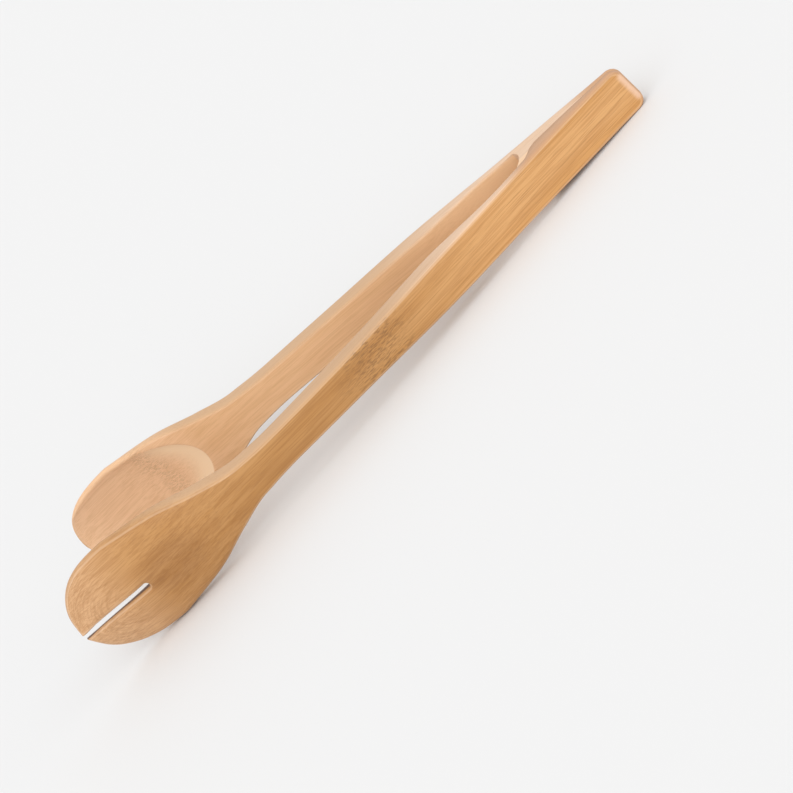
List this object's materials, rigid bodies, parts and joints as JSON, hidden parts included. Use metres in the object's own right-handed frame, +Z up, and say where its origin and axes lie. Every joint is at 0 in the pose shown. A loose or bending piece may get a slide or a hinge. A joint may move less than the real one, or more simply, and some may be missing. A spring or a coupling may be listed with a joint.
{
  "type": "kitchen tongs",
  "caption": "Bamboo kitchen tongs with two spoon-shaped heads, one slotted at its tip, joined at a glued tail and sprung by a thinned leaf in each arm.",
  "frame": {"origin": "centre of the bounding box's underside, on the surface that the tongs lie on", "axes": "+X from the heads to the tail, +Y from the slotted arm to the plain arm, +Z up: the tongs lie on the side edges of both heads and of the tail"},
  "size_m": [0.2998, 0.07, 0.0474],
  "materials": {
    "bamboo_slotted_arm": "oiled golden bamboo, satin, fine fibres along the arm",
    "bamboo_plain_arm": "oiled pale bamboo, satin, fine fibres along the arm",
    "bamboo_wedge": "pale bamboo, satin, glued between the arms"
  },
  "bodies": {
    "tail": {"slotted_arm_tail": "bamboo_slotted_arm", "plain_arm_tail": "bamboo_plain_arm", "wedge_block": "bamboo_wedge"},
    "slotted_arm_body": {"slotted_arm": "bamboo_slotted_arm"},
    "plain_arm_body": {"plain_arm": "bamboo_plain_arm"}
  },
  "joints": [
    {"name": "slotted_arm_flex", "type": "hinge", "parent": "tail", "child": "slotted_arm_body", "pos_m": [0.09173, -0.00888, 0.01211], "axis": [-0.0557, 0, -0.9984], "range_deg": [0, 6.1], "stiffness_Nm_per_rad": 8},
    {"name": "plain_arm_flex", "type": "hinge", "parent": "tail", "child": "plain_arm_body", "pos_m": [0.09173, 0.00888, 0.01211], "axis": [0.0557, 0, 0.9984], "range_deg": [0, 6.1], "stiffness_Nm_per_rad": 8}
  ]
}
